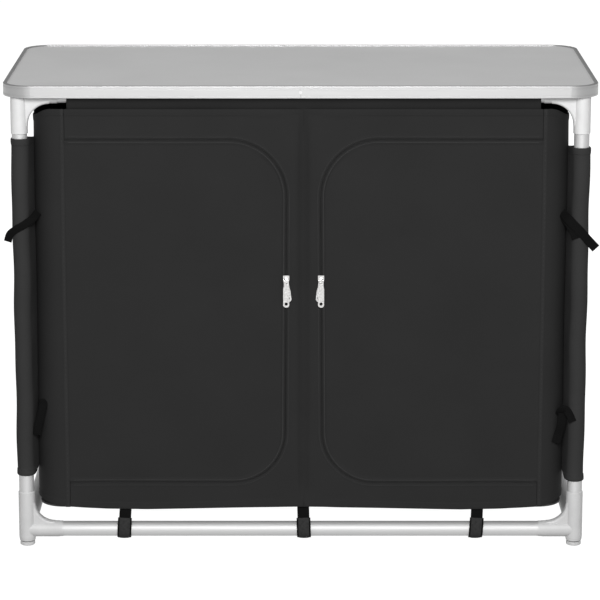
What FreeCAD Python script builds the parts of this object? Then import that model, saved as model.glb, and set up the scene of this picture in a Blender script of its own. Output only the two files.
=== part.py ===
import FreeCAD, Part
import math
import os

# Camp kitchen table: a rimmed board on a plug-together tube frame, with a two-door cloth
# cabinet hung inside the frame.  Millimetres, +X right, +Y to the back, +Z up.  The origin
# is on the ground under the middle of the table.

os.makedirs("parts", exist_ok=True)
V = FreeCAD.Vector
X_AXIS = V(1, 0, 0)
Y_AXIS = V(0, 1, 0)
Z_AXIS = V(0, 0, 1)
SIDES = {"left": -1, "right": 1}
ENDS = {"front": -1, "rear": 1}

# ---- overall sizes ----
table_width = 970.0
table_depth = 475.0
table_height = 780.0
touch_gap = 0.3                 # room between a moving piece and what it passes

# ---- tabletop ----
corner_radius = 48.0
rim_height = 20.0
rim_wall = 1.6
rim_lip = 6.0                   # how far the top lip covers the board
rim_edge_round = 0.9
rim_groove_depth = 0.5
rim_groove_height = 1.0
rim_groove_inset = 4.0          # groove centre below the top and above the bottom edge
rim_joint_gap = 0.3             # where the two ends of the bent strip meet
board_thickness = 12.0
rivet_head_radius = 2.6
rivet_head_thickness = 1.0
rivet_shank_radius = 1.5
rivet_length = 11.0
rivet_drop = 10.0               # rivet centre below the table's surface

# ---- frame tubes ----
leg_inset = 27.0                # leg axis in from the board's edges
leg_diameter = 25.0
upper_rail_diameter = 16.0
tube_wall = 1.2
plug_clearance = 0.08           # radial room of a tube in its socket
plug_depth = 28.0
plug_end_gap = 1.0

# ---- corner fittings ----
socket_wall = 1.4
mouth_chamfer = 1.2
upper_arm_wall = 1.0
upper_arm_length = 62.0
upper_socket_drop = 82.0        # mouth of the top socket below the table's surface
upper_gusset_radius = 36.0
lower_arm_wall = 1.0
lower_arm_length = 54.0
lower_neck_length = 6.0
lower_neck_step = 0.5
lower_rail_height = 27.0        # axis of the bottom rails above the ground
lower_socket_height = 93.0      # mouth of the bottom socket above the ground
lower_gusset_radius = 33.0
gusset_thickness = 16.0
gusset_edge_round = 4.0
arm_board_gap = 0.6
fitting_rim_gap = 0.4           # between a top fitting's socket and the rim's ledges

# ---- levelling feet ----
foot_radius = 12.4
foot_cap_height = 6.0
foot_gap = 2.0                  # thread showing between the foot and its fitting
foot_taper = 1.2
foot_stem_radius = 5.0
foot_stem_length = 24.0
foot_stem_clearance = 0.1
foot_edge_chamfer = 1.2
foot_hole_end = 2.5             # room above the stem for winding the foot in

# ---- board clips and their screws ----
clip_length = 20.0
clip_wall = 1.5
clip_offset = 110.0             # clip centre from the middle of a side rail
clip_flange_reach = 18.5
clip_flange_thickness = 3.0
clip_grip = 3.0                 # how far the jaws reach below the rail's axis
screw_offset = 14.0
screw_head_radius = 3.0
screw_head_thickness = 1.5
screw_radius = 1.6
screw_bite = 8.0                # length of screw inside the board
screw_clearance = 0.1

# ---- cloth cabinet ----
cloth = 1.2
sleeve_slack = 0.3
cabinet_side_gap = 19.0         # leg axis to the cabinet's side
cabinet_corner_radius = 44.0
cabinet_bottom = 66.0
cabinet_top_gap = 7.8           # top hem below the undersides of the top fittings' arms
header_end_inset = 56.0         # end of a rail sleeve in from the cabinet's side
header_shift = 5.0              # the sewn front sits a little to the right of the frame
header_overlap = 15.0
leg_sleeve_bottom = 119.0
leg_sleeve_top_drop = 90.0
stiffener = 3.0
stiffener_gap = 1.0
partition_headroom = 6.0
shelf_height = 400.0
shelf_front_gap = 0.6
shelf_side_gap = 0.2

# ---- doors, zips and pulls ----
door_shift = 5.0                # middle of the two doors, to the right of the frame's middle
door_hinge_inset = 49.0         # hinge seam in from the cabinet's side
door_inner_top = 27.0           # zip line from the doors' middle, at the top
door_inner_bottom = 31.0        # and at the bottom
door_top_drop = 90.0
door_bottom = 110.0
door_top_radius = 95.0
door_bottom_radius = 87.0
hinge_gap = 0.3
zip_half_width = 3.0
zip_mesh_gap = 0.4
zip_thickness = 2.0
slider_height = 14.0
slider_width = 10.0
slider_plate = 1.3
slider_z = 457.0
slider_tail_width = 7.0
bridge_width = 2.6
bridge_depth = 6.0
bridge_above = 2.2
bridge_below = 4.6
pull_thickness = 1.2
pull_pin_radius = 0.6
pull_pin_clearance = 0.08
pull_width = 10.0
pull_neck_width = 8.0
pull_window = 4.6
pull_window_length = 6.0
pull_length = 46.0
pull_hole_radius = 2.6
pull_hole_inset = 6.0
front_pull_stand = 3.3          # pull's middle plane in front of the slider's plate
rear_pull_stand = 1.4
rear_pull_drop = 3.0
rear_pull_length = 34.0
rear_pull_lean = 7.0            # degrees towards the middle of the table

# ---- straps ----
strap_width = 22.0
strap_tail_height = 56.0
strap_front_spots = (-294.0, 5.0, 296.0)
strap_rear_spots = (-294.0, 0.0, 294.0)
tie_width = 15.0
tie_upper_height = 560.0
tie_upper_length = 58.0
tie_upper_slope = 42.0          # degrees below level
tie_lower_top = 251.0
tie_lower_length = 57.0

# ---- sizes that follow from the ones above ----
leg_x = table_width / 2 - leg_inset
leg_y = table_depth / 2 - leg_inset
leg_radius = leg_diameter / 2
upper_rail_radius = upper_rail_diameter / 2
rim_bottom = table_height - rim_height
board_top = table_height - rim_wall
board_bottom = board_top - board_thickness
socket_radius = leg_radius + socket_wall
corner_reach = math.sqrt(2) * (corner_radius - leg_inset) + socket_radius
rim_ledge = corner_radius - corner_reach - fitting_rim_gap
upper_arm_radius = upper_rail_radius + upper_arm_wall
upper_rail_z = board_bottom - arm_board_gap - upper_arm_radius
lower_arm_radius = leg_radius + lower_arm_wall
upper_socket_mouth = table_height - upper_socket_drop
leg_top = upper_rail_z - upper_arm_radius - plug_end_gap
leg_bottom = lower_rail_height + lower_arm_radius + plug_end_gap
foot_shoulder = foot_cap_height + foot_gap
header_radius = upper_rail_radius + sleeve_slack + cloth
cabinet_face = leg_y + header_radius + cloth
cabinet_top = upper_rail_z - upper_arm_radius - cabinet_top_gap
cabinet_half_width = leg_x - cabinet_side_gap
header_half_length = cabinet_half_width - header_end_inset
door_hinge_half = cabinet_half_width - door_hinge_inset
floor_top = cabinet_bottom + cloth
leg_sleeve_top = table_height - leg_sleeve_top_drop
door_top = table_height - door_top_drop
zip_face = cabinet_face - cloth + zip_thickness
slider_back = zip_face + touch_gap
slider_front = slider_back + slider_plate


def save(name, shape):
    """Write one sub-part to its own STEP file."""
    shape.exportStep("parts/%s.step" % name)
    print("%-24s %2d solids  valid %s" % (name, len(shape.Solids), shape.isValid()))


def box(x0, x1, y0, y1, z0, z1):
    """Box between two corners, given in any order."""
    low = V(min(x0, x1), min(y0, y1), min(z0, z1))
    return Part.makeBox(abs(x1 - x0), abs(y1 - y0), abs(z1 - z0), low)


def rod(radius, start, end):
    """Solid cylinder from one point to another."""
    return Part.makeCylinder(radius, (end - start).Length, start, end - start)


def tube(outer, wall, start, end):
    """Hollow cylinder from one point to another."""
    along = (end - start).normalize()
    bore = rod(outer - wall, start - along, end + along)
    return rod(outer, start, end).cut(bore)


def edges_along(shape, axis):
    """Straight edges of a shape that run along an axis."""
    found = []
    for edge in shape.Edges:
        if not isinstance(edge.Curve, (Part.Line, Part.LineSegment)):
            continue
        if abs(abs(edge.Curve.Direction.dot(axis)) - 1) < 1e-6:
            found.append(edge)
    return found


def rounded_slab(half_x, half_y, radius, z0, z1):
    """Flat slab centred on the Z axis, with rounded corners in plan."""
    slab = box(-half_x, half_x, -half_y, half_y, z0, z1)
    return slab.makeFillet(radius, edges_along(slab, Z_AXIS))


def tabletop_slab(inset, z0, z1):
    """Slab of the tabletop's outline, drawn in by a distance."""
    return rounded_slab(table_width / 2 - inset, table_depth / 2 - inset, corner_radius - inset, z0, z1)


# ---- tabletop ----
def rivet_solid(grow):
    """Flush rivet through the rim into the board's edge at the front, or its hole if grown."""
    z = table_height - rivet_drop
    face = -table_depth / 2
    shank = rod(rivet_shank_radius + grow, V(0, face, z), V(0, face + rivet_length + grow, z))
    head = rod(rivet_head_radius + grow, V(0, face, z), V(0, face + rivet_head_thickness + grow, z))
    return head.fuse(shank).removeSplitter()


def make_rim():
    """Bent aluminium strip: wall, top lip, board ledge and bottom ledge, with two fine grooves."""
    body = tabletop_slab(0, rim_bottom, table_height)
    level_edges = [e for e in body.Edges if abs(e.BoundBox.ZMax - e.BoundBox.ZMin) < 1e-6]
    body = body.makeFillet(rim_edge_round, level_edges)
    body = body.cut(tabletop_slab(rim_ledge, rim_bottom - 1, board_bottom))
    body = body.cut(tabletop_slab(rim_wall, board_bottom, board_top))
    body = body.cut(tabletop_slab(rim_lip, board_top, table_height + 1))
    body = body.cut(tabletop_slab(rim_wall, rim_bottom + rim_wall, board_bottom - rim_wall))
    for z in (table_height - rim_groove_inset, rim_bottom + rim_groove_inset):
        low = z - rim_groove_height / 2
        high = z + rim_groove_height / 2
        band = tabletop_slab(-1, low, high).cut(tabletop_slab(rim_groove_depth, low - 1, high + 1))
        body = body.cut(band)
    face = -table_depth / 2
    joint = box(-rim_joint_gap / 2, rim_joint_gap / 2, face - 1, face + rim_lip + 1,
                rim_bottom - 1, table_height + 1)
    return body.cut(joint).cut(rivet_solid(0))


def screw_places():
    """Plan positions of the clip screws, two for each clip."""
    for side in SIDES.values():
        for end in ENDS.values():
            for step in (-screw_offset, screw_offset):
                yield side * leg_x + step, end * clip_offset


def make_board():
    """Board with blind holes for the clip screws and for the rivet."""
    body = tabletop_slab(rim_wall, board_bottom, board_top)
    for x, y in screw_places():
        body = body.cut(rod(screw_radius, V(x, y, board_bottom), V(x, y, board_bottom + screw_bite)))
    return body.cut(rivet_solid(0))


def make_clips():
    """Snap clips under the board that grip the two side rails."""
    flange_bottom = board_bottom - clip_flange_thickness
    jaw = upper_rail_radius + clip_wall
    clips = []
    for side in SIDES.values():
        for end in ENDS.values():
            y0 = end * clip_offset - clip_length / 2
            y1 = y0 + clip_length
            x = side * leg_x
            body = box(x - jaw, x + jaw, y0, y1, upper_rail_z - clip_grip, board_bottom)
            flange = box(x - clip_flange_reach, x + clip_flange_reach, y0, y1,
                         flange_bottom, board_bottom)
            body = body.fuse(flange).removeSplitter()
            body = body.cut(rod(upper_rail_radius + plug_clearance, V(x, y0 - 1, upper_rail_z),
                                V(x, y1 + 1, upper_rail_z)))
            for step in (-screw_offset, screw_offset):
                hole_x = x + step
                y = end * clip_offset
                body = body.cut(rod(screw_radius + screw_clearance, V(hole_x, y, flange_bottom - 1),
                                    V(hole_x, y, board_bottom + 1)))
            clips.append(body)
    return Part.makeCompound(clips)


def make_screws():
    """Pan-head screws that hold the clips to the board."""
    flange_bottom = board_bottom - clip_flange_thickness
    screws = []
    for x, y in screw_places():
        shank = rod(screw_radius, V(x, y, flange_bottom), V(x, y, board_bottom + screw_bite))
        head = rod(screw_head_radius, V(x, y, flange_bottom - screw_head_thickness),
                   V(x, y, flange_bottom))
        screws.append(head.fuse(shank).removeSplitter())
    return Part.makeCompound(screws)


# ---- frame ----
def gusset(direction, foot_radius_out, base_z, arm_top_z, radius, upward):
    """Web with a hollow quarter-circle edge between a column and an arm.

    The web lies in the plane of the column's axis (the local Z axis at the origin) and the
    arm's direction.  It starts on the arm's axis and fills the corner up to an arc that is
    tangent to the column and to the arm."""
    reach = foot_radius_out + radius
    tip_z = arm_top_z + upward * radius
    centre = V(reach, 0, tip_z)
    middle = centre + V(-math.cos(math.pi / 4), 0, -upward * math.sin(math.pi / 4)) * radius
    corners = [V(0, 0, tip_z), V(0, 0, base_z), V(reach, 0, base_z), V(reach, 0, arm_top_z)]
    edges = [Part.makeLine(a, b) for a, b in zip(corners, corners[1:])]
    edges.append(Part.Arc(V(reach, 0, arm_top_z), middle, V(foot_radius_out, 0, tip_z)).toShape())
    edges.append(Part.makeLine(V(foot_radius_out, 0, tip_z), corners[0]))
    web = Part.Face(Part.Wire(edges)).extrude(Y_AXIS * gusset_thickness)
    web.translate(Y_AXIS * (-gusset_thickness / 2))
    arcs = [e for e in web.Edges if isinstance(e.Curve, Part.Circle)]
    web = web.makeFillet(gusset_edge_round, arcs)
    web.rotate(V(0, 0, 0), Z_AXIS, math.degrees(math.atan2(direction.y, direction.x)))
    return web


def corner_arms(side, end):
    """The two level directions in which a corner fitting's arms point."""
    return V(-side, 0, 0), V(0, -end, 0)


def make_upper_corner(side, end):
    """Three-way top fitting: one socket down for the leg and two arms for the top rails."""
    body = rod(socket_radius, V(0, 0, board_bottom), V(0, 0, upper_socket_mouth))
    mouth = [e for e in body.Edges if abs(e.BoundBox.ZMax - upper_socket_mouth) < 1e-6]
    body = body.makeChamfer(mouth_chamfer, mouth[:1])
    axis_point = V(0, 0, upper_rail_z)
    arm_underside = upper_rail_z - upper_arm_radius
    for way in corner_arms(side, end):
        body = body.fuse(rod(upper_arm_radius, axis_point, axis_point + way * upper_arm_length))
        web = gusset(way, socket_radius, upper_rail_z, arm_underside, upper_gusset_radius, -1)
        body = body.fuse(web)
    body = body.removeSplitter()
    body = body.cut(rod(leg_radius + plug_clearance, V(0, 0, upper_socket_mouth - 1),
                        V(0, 0, leg_top + plug_end_gap)))
    for way in corner_arms(side, end):
        start = axis_point + way * (upper_arm_length - plug_depth - plug_end_gap)
        finish = axis_point + way * (upper_arm_length + 1)
        body = body.cut(rod(upper_rail_radius + plug_clearance, start, finish))
    body.translate(V(side * leg_x, end * leg_y, 0))
    return body


def make_lower_corner(side, end):
    """Three-way bottom fitting: a socket up for the leg, two arms and a hole for the foot."""
    tail_top = lower_rail_height - lower_arm_radius
    body = rod(socket_radius, V(0, 0, tail_top), V(0, 0, lower_socket_height))
    mouth = [e for e in body.Edges if abs(e.BoundBox.ZMin - lower_socket_height) < 1e-6]
    body = body.makeChamfer(mouth_chamfer, mouth[:1])
    tail = Part.makeCone(foot_radius + foot_taper / 2, socket_radius, tail_top - foot_shoulder,
                         V(0, 0, foot_shoulder), Z_AXIS)
    body = body.fuse(tail)
    axis_point = V(0, 0, lower_rail_height)
    neck_radius = lower_arm_radius - lower_neck_step
    mouth_reach = lower_arm_length + lower_neck_length
    arm_top = lower_rail_height + lower_arm_radius
    for way in corner_arms(side, end):
        body = body.fuse(rod(lower_arm_radius, axis_point, axis_point + way * lower_arm_length))
        body = body.fuse(rod(neck_radius, axis_point, axis_point + way * mouth_reach))
        web = gusset(way, socket_radius, lower_rail_height, arm_top, lower_gusset_radius, 1)
        body = body.fuse(web)
    body = body.removeSplitter()
    body = body.cut(rod(leg_radius + plug_clearance, V(0, 0, leg_bottom - plug_end_gap),
                        V(0, 0, lower_socket_height + 1)))
    for way in corner_arms(side, end):
        start = axis_point + way * (mouth_reach - plug_depth - plug_end_gap)
        body = body.cut(rod(leg_radius + plug_clearance, start, axis_point + way * (mouth_reach + 1)))
    stem_top = foot_cap_height + foot_stem_length + foot_hole_end
    body = body.cut(rod(foot_stem_radius + foot_stem_clearance, V(0, 0, 0), V(0, 0, stem_top)))
    body.translate(V(side * leg_x, end * leg_y, 0))
    return body


def make_foot(side, end):
    """Screw-in levelling foot: a cap on a stem."""
    cap = rod(foot_radius, V(0, 0, 0), V(0, 0, foot_cap_height))
    rims = [e for e in cap.Edges if isinstance(e.Curve, Part.Circle)]
    cap = cap.makeChamfer(foot_edge_chamfer, rims)
    stem_top = foot_cap_height + foot_stem_length
    stem = rod(foot_stem_radius, V(0, 0, foot_cap_height / 2), V(0, 0, stem_top))
    foot = cap.fuse(stem).removeSplitter()
    foot.translate(V(side * leg_x, end * leg_y, 0))
    return foot


def make_leg(side, end):
    """Leg tube between its two sockets."""
    x = side * leg_x
    y = end * leg_y
    return tube(leg_radius, tube_wall, V(x, y, leg_bottom), V(x, y, leg_top))


def rail_pair(radius, mouth_reach, z):
    """Four rails of one storey, by name: their ends sit plug_depth inside the arms' mouths."""
    end_x = leg_x - mouth_reach + plug_depth
    end_y = leg_y - mouth_reach + plug_depth
    rails = {}
    for name, end in ENDS.items():
        rails[name] = tube(radius, tube_wall, V(-end_x, end * leg_y, z), V(end_x, end * leg_y, z))
    for name, side in SIDES.items():
        rails[name] = tube(radius, tube_wall, V(side * leg_x, -end_y, z), V(side * leg_x, end_y, z))
    return rails


# ---- cloth cabinet ----
def cabinet_slab(inset, z0, z1):
    """Slab of the cabinet's outline, drawn in by a distance."""
    radius = cabinet_corner_radius - inset
    return rounded_slab(cabinet_half_width - inset, cabinet_face - inset, radius, z0, z1)


def door_middle(z):
    """Distance of the zip line from the doors' middle at a height."""
    share = (z - door_bottom) / (door_top - door_bottom)
    return door_inner_bottom + (door_inner_top - door_inner_bottom) * share


def door_prism(side, grow, near_y, far_y):
    """Prism of a door's outline, grown by a distance on its three zipped sides.

    The outline runs on past the hinge line, where it is cut off straight."""
    hinge_x = door_shift + side * door_hinge_half
    beyond = hinge_x + side * door_top_radius
    inner_top = door_shift + side * (door_inner_top - grow)
    inner_bottom = door_shift + side * (door_inner_bottom - grow)
    points = [V(beyond, near_y, door_top + grow), V(inner_top, near_y, door_top + grow),
              V(inner_bottom, near_y, door_bottom - grow), V(beyond, near_y, door_bottom - grow)]
    prism = Part.Face(Part.makePolygon(points + points[:1])).extrude(Y_AXIS * (far_y - near_y))
    for radius, point in ((door_top_radius + grow, points[1]), (door_bottom_radius + grow, points[2])):
        corner = []
        for edge in edges_along(prism, Y_AXIS):
            offset = edge.BoundBox.Center - point
            if math.hypot(offset.x, offset.z) < 0.01:
                corner.append(edge)
        prism = prism.makeFillet(radius, corner)
    keep = box(hinge_x, door_shift, near_y - 1, far_y + 1, 0, table_height)
    return prism.common(keep)


def make_cabinet_walls():
    """Front, sides and back: one rounded shell, cut at the four seams behind its corners."""
    shell = cabinet_slab(0, cabinet_bottom, cabinet_top).cut(
        cabinet_slab(cloth, cabinet_bottom - 1, cabinet_top + 1))
    seam_y = cabinet_face - cabinet_corner_radius
    far_x = table_width / 2
    far_y = table_depth / 2
    walls = {}
    front = shell.common(box(-far_x, far_x, -far_y, -seam_y, 0, table_height))
    for side in SIDES.values():
        grow = zip_mesh_gap / 2 + zip_half_width
        front = front.cut(door_prism(side, grow, -far_y, -seam_y))
    walls["front_panel"] = front
    walls["back_panel"] = shell.common(box(-far_x, far_x, seam_y, far_y, 0, table_height))
    for name, side in SIDES.items():
        keep = box(0, side * far_x, -seam_y, seam_y, 0, table_height)
        walls["side_panel_" + name] = shell.common(keep)
    return walls


def make_door(side):
    """Door cloth inside its zip, a hinge gap away from the panel's outer seam."""
    grow = -zip_mesh_gap / 2 - zip_half_width
    door = door_prism(side, grow, -cabinet_face, -cabinet_face + cloth)
    hinge_x = door_shift + side * door_hinge_half
    return door.cut(box(hinge_x, hinge_x - side * hinge_gap, -table_depth, 0, 0, table_height))


def make_zip(side, inner, outer):
    """One half of a zip: the band between two grown door outlines."""
    back = -cabinet_face + cloth
    band = door_prism(side, outer, -zip_face, back).cut(door_prism(side, inner, -zip_face - 1, back + 1))
    hinge_x = door_shift + side * door_hinge_half
    return band.cut(box(hinge_x, hinge_x - side * hinge_gap, -table_depth, 0, 0, table_height))


def make_header(end, shift):
    """Sleeve round a top rail, with a flap sewn behind the top of the panel."""
    y = end * leg_y
    x0 = shift - header_half_length
    x1 = shift + header_half_length
    loop = rod(header_radius, V(x0, y, upper_rail_z), V(x1, y, upper_rail_z))
    face = end * (leg_y + header_radius)
    flap = box(x0, x1, face, face - end * cloth, cabinet_top - header_overlap, upper_rail_z)
    body = loop.fuse(flap).removeSplitter()
    return body.cut(rod(header_radius - cloth, V(x0 - 1, y, upper_rail_z), V(x1 + 1, y, upper_rail_z)))


def make_leg_sleeve(side, end):
    """Sleeve round a leg, with a flap that joins it to the cabinet's side seam."""
    seam_inset = leg_y - cabinet_face + cabinet_corner_radius
    seam = V(-side * cabinet_side_gap, -end * seam_inset, 0)
    reach = seam.Length
    outer = leg_radius + sleeve_slack + cloth
    body = rod(outer, V(0, 0, leg_sleeve_bottom), V(0, 0, leg_sleeve_top))
    flap = box(0, reach + cloth, -cloth / 2, cloth / 2, leg_sleeve_bottom, leg_sleeve_top)
    flap.rotate(V(0, 0, 0), Z_AXIS, math.degrees(math.atan2(seam.y, seam.x)))
    body = body.fuse(flap)
    body = body.cut(rod(outer - cloth, V(0, 0, 0), V(0, 0, table_height)))
    body.translate(V(side * leg_x, end * leg_y, 0))
    return body.cut(box(side * cabinet_half_width, 0, -table_depth, table_depth, 0, table_height))


def make_cabinet_floor():
    """Bottom cloth, inside the four walls."""
    return cabinet_slab(cloth, cabinet_bottom, floor_top)


def make_floor_boards():
    """Two stiffening boards that lie on the bottom cloth, one each side of the partition."""
    slab = cabinet_slab(cloth + stiffener_gap, floor_top, floor_top + stiffener)
    middle = box(header_shift - stiffener_gap, header_shift + stiffener_gap, -table_depth, table_depth,
                 0, table_height)
    return slab.cut(middle)


def make_partition():
    """Upright cloth between the two compartments."""
    y = cabinet_face - cloth - shelf_front_gap
    return box(header_shift - cloth / 2, header_shift + cloth / 2, -y, cabinet_face - cloth, floor_top,
               cabinet_top - header_overlap - partition_headroom)


def make_shelf(side):
    """Stiffened shelf that spans from the partition to a side panel."""
    slab = cabinet_slab(cloth + shelf_side_gap, shelf_height, shelf_height + stiffener)
    front = -cabinet_face + cloth + shelf_front_gap
    inner = header_shift + side * cloth / 2
    return slab.common(box(inner, side * table_width, front, table_depth, 0, table_height))


# ---- sliders and pulls ----
def slider_axis(side):
    """Where the zip line passes the slider's middle."""
    return V(door_shift + side * door_middle(slider_z), 0, slider_z)


def pull_pin(side, rear):
    """Middle point and direction of a pull's hinge pin."""
    middle = slider_axis(side)
    lean = 0.0
    if rear:
        middle = middle + V(0, -(slider_front + rear_pull_stand), -rear_pull_drop)
        lean = -math.radians(rear_pull_lean) * side
    else:
        middle = middle + V(0, -(slider_front + front_pull_stand), 0)
    return middle, V(math.cos(lean), 0, math.sin(lean))


def make_slider(side):
    """Zip slider: a shield-shaped front plate with a bridge that carries the pulls."""
    middle = slider_axis(side)
    top = middle.z + slider_height / 2
    low = middle.z - slider_height / 2
    half = slider_width / 2
    tail = slider_tail_width / 2
    points = [V(middle.x - half, -slider_back, top), V(middle.x + half, -slider_back, top),
              V(middle.x + half, -slider_back, middle.z), V(middle.x + tail, -slider_back, low),
              V(middle.x - tail, -slider_back, low), V(middle.x - half, -slider_back, middle.z)]
    body = Part.Face(Part.makePolygon(points + points[:1])).extrude(Y_AXIS * -slider_plate)
    bridge_back = -slider_back - slider_plate / 2
    bridge = box(middle.x - bridge_width / 2, middle.x + bridge_width / 2, bridge_back,
                 -slider_front - bridge_depth, middle.z - bridge_below, middle.z + bridge_above)
    body = body.fuse(bridge)
    for rear in (False, True):
        point, way = pull_pin(side, rear)
        reach = way * slider_width
        body = body.cut(rod(pull_pin_radius + pull_pin_clearance, point - reach, point + reach))
    return body.removeSplitter()


def make_pull(side, rear):
    """Flat pull with a hinge pin, a window that clears the bridge and a hole near its end."""
    length = rear_pull_length if rear else pull_length
    half_neck = pull_neck_width / 2
    half = pull_width / 2
    neck_end = -pull_window_length - pull_neck_width / 2
    points = [V(-half_neck, 0, 0), V(half_neck, 0, 0), V(half_neck, 0, neck_end),
              V(half, 0, neck_end - half), V(half, 0, -length), V(-half, 0, -length),
              V(-half, 0, neck_end - half), V(-half_neck, 0, neck_end)]
    plate = Part.Face(Part.makePolygon(points + points[:1])).extrude(Y_AXIS * pull_thickness)
    plate.translate(V(0, -pull_thickness / 2, 0))
    lower = [e for e in edges_along(plate, Y_AXIS) if abs(e.BoundBox.Center.z + length) < 0.01]
    plate = plate.makeFillet(half - 0.5, lower)
    plate = plate.cut(box(-pull_window / 2, pull_window / 2, -1, 1, 1, -pull_window_length))
    hole_z = pull_hole_inset - length
    plate = plate.cut(rod(pull_hole_radius, V(0, -1, hole_z), V(0, 1, hole_z)))
    pin = rod(pull_pin_radius, V(-half_neck, 0, 0), V(half_neck, 0, 0))
    body = plate.fuse(pin).removeSplitter()
    point, way = pull_pin(side, rear)
    body.rotate(V(0, 0, 0), Y_AXIS, -math.degrees(math.atan2(way.z, way.x)))
    body.translate(point)
    return body


# ---- straps ----
def make_rail_strap(x, end):
    """Strap from the cabinet's bottom round a bottom rail, with its tail up the outside."""
    x0 = x - strap_width / 2
    x1 = x + strap_width / 2
    y = end * leg_y
    inner = leg_radius + sleeve_slack
    outer = inner + cloth
    body = rod(outer, V(x0, y, lower_rail_height), V(x1, y, lower_rail_height))
    tail_face = y + end * outer
    body = body.fuse(box(x0, x1, tail_face, tail_face - end * cloth, lower_rail_height,
                         strap_tail_height))
    neck_y = y + end * (cloth + sleeve_slack)
    body = body.fuse(box(x0, x1, neck_y, neck_y + end * 2 * cloth, lower_rail_height, cabinet_bottom))
    body = body.cut(rod(inner, V(x0 - 1, y, lower_rail_height), V(x1 + 1, y, lower_rail_height)))
    return body.removeSplitter()


def make_tie_straps(side):
    """Two door ties at a front leg: the upper one stands out and down, the lower one hangs."""
    sleeve_face = -(leg_y + leg_radius + sleeve_slack + cloth)
    front = sleeve_face - touch_gap
    upper = box(0, tie_upper_length, front, front - cloth, -tie_width / 2, tie_width / 2)
    upper.rotate(V(0, 0, 0), Y_AXIS, tie_upper_slope)
    upper.translate(V(cabinet_half_width, 0, tie_upper_height))
    hang_y = -leg_y - leg_radius / 2
    sleeve_radius = leg_radius + sleeve_slack + cloth
    hang_x = leg_x - math.sqrt(sleeve_radius ** 2 - (leg_radius / 2 - cloth) ** 2) - touch_gap
    lower = box(hang_x - tie_width, hang_x, hang_y, hang_y + cloth, tie_lower_top - tie_lower_length,
                tie_lower_top)
    straps = Part.makeCompound([upper, lower])
    if side < 0:
        straps = straps.mirror(V(0, 0, 0), X_AXIS)
    return straps


save("tabletop_rim", make_rim())
save("tabletop_board", make_board())
save("rim_rivet", rivet_solid(0))
save("board_clips", make_clips())
save("clip_screws", make_screws())

for end_name, end in ENDS.items():
    for side_name, side in SIDES.items():
        place = "%s_%s" % (end_name, side_name)
        save("upper_corner_" + place, make_upper_corner(side, end))
        save("lower_corner_" + place, make_lower_corner(side, end))
        save("levelling_foot_" + place, make_foot(side, end))
        save("leg_" + place, make_leg(side, end))
        save("leg_sleeve_" + place, make_leg_sleeve(side, end))

for name, rail in rail_pair(upper_rail_radius, upper_arm_length, upper_rail_z).items():
    save("upper_rail_" + name, rail)
for name, rail in rail_pair(leg_radius, lower_arm_length + lower_neck_length, lower_rail_height).items():
    save("lower_rail_" + name, rail)

for name, wall in make_cabinet_walls().items():
    save(name, wall)
save("rail_sleeve_front", make_header(-1, header_shift))
save("rail_sleeve_rear", make_header(1, 0))
save("cabinet_floor", make_cabinet_floor())
save("floor_boards", make_floor_boards())
save("centre_partition", make_partition())

mesh_edge = zip_mesh_gap / 2
for name, side in SIDES.items():
    save("shelf_" + name, make_shelf(side))
    save("door_" + name, make_door(side))
    save("zip_door_half_" + name, make_zip(side, -mesh_edge - zip_half_width, -mesh_edge))
    save("zip_slider_" + name, make_slider(side))
    save("zip_pull_" + name, make_pull(side, False))
    save("zip_pull_rear_" + name, make_pull(side, True))
    save("tie_straps_" + name, make_tie_straps(side))
frame_halves = [make_zip(side, mesh_edge, mesh_edge + zip_half_width) for side in SIDES.values()]
save("zip_frame_halves", Part.makeCompound(frame_halves))

save("rail_straps_front", Part.makeCompound([make_rail_strap(x, -1) for x in strap_front_spots]))
save("rail_straps_rear", Part.makeCompound([make_rail_strap(x, 1) for x in strap_rear_spots]))
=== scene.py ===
# %% [markdown]
# # Camp kitchen table
# A laminated board with an aluminium rim stands on a plug-together tube frame. A black cloth cupboard
# hangs inside the frame and closes with two zipped doors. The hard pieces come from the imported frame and
# only get their finishes here. Every cloth piece is worked out here as a surface.

import math

import bpy
import numpy as np
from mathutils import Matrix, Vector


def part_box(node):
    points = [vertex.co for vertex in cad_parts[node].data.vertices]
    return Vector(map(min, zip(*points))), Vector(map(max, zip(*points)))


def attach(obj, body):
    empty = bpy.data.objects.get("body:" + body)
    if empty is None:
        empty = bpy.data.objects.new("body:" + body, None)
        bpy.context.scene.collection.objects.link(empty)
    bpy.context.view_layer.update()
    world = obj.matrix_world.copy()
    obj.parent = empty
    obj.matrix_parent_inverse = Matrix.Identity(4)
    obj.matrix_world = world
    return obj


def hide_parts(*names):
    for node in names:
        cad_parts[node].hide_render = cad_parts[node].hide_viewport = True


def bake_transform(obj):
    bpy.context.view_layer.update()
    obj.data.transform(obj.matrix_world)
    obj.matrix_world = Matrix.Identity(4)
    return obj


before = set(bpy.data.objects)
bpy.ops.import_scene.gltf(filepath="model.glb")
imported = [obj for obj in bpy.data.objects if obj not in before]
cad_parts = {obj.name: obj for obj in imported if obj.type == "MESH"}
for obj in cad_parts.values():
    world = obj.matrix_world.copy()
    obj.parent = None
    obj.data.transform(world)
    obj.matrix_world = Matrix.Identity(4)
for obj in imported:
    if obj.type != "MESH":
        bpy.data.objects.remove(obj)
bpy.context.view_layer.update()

# %% [markdown]
# ## Small tools
# A colour is written as the sRGB hex value a maker reads from a swatch, but the renderer computes in
# linear light, so one function converts it. One more function adds a node with its settings and links.

# %% Colours and nodes
MM = 0.001


def linear(swatch):
    """Linear colour of an sRGB hex swatch: v / 12.92 below 0.04045, else ((v + 0.055) / 1.055) to the 2.4."""
    v = np.array([int(swatch[i : i + 2], 16) for i in (1, 3, 5)]) / 255
    v = np.where(v <= 0.04045, v / 12.92, ((v + 0.055) / 1.055) ** 2.4)
    return (*v.tolist(), 1.0)


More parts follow.
